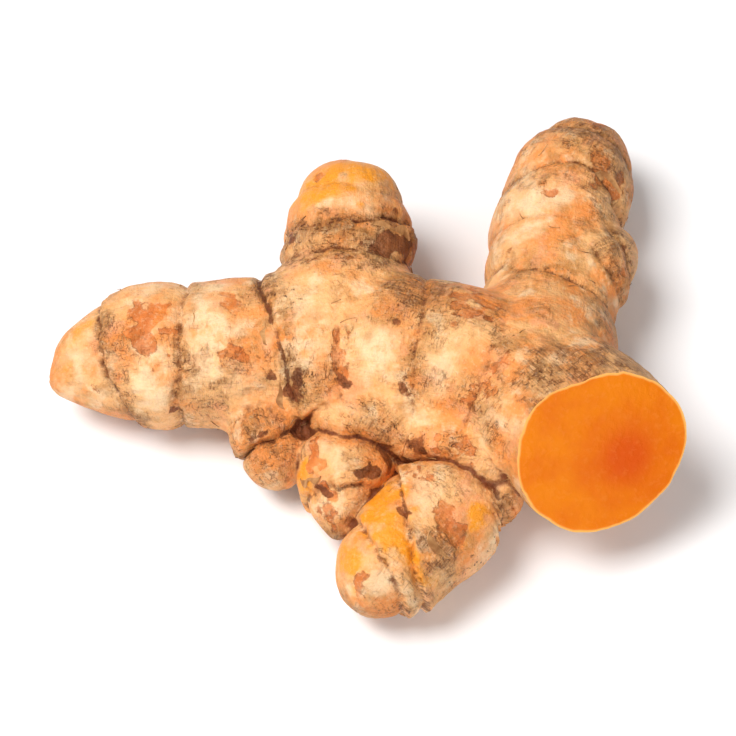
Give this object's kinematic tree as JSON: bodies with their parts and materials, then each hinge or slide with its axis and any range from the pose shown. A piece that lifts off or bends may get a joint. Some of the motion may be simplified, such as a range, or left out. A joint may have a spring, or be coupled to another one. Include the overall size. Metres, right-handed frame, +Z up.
{
  "type": "turmeric root",
  "caption": "Fresh turmeric root lying on its side: a ringed stem with short fingers, a pointed tip and one slanting cut that shows orange flesh.",
  "frame": {"origin": "middle of the bounding rectangle of the root's footprint, on the surface that the root rests on", "axes": "+Z up as the root lies; -X towards the pointed tip of the stem; the cut end is at +X, -Y; +Y towards the two long fingers"},
  "size_m": [0.0818, 0.074, 0.0245],
  "materials": {
    "turmeric_skin": "matte"
  },
  "bodies": {
    "root": {"turmeric_root": "turmeric_skin"}
  },
  "joints": []
}
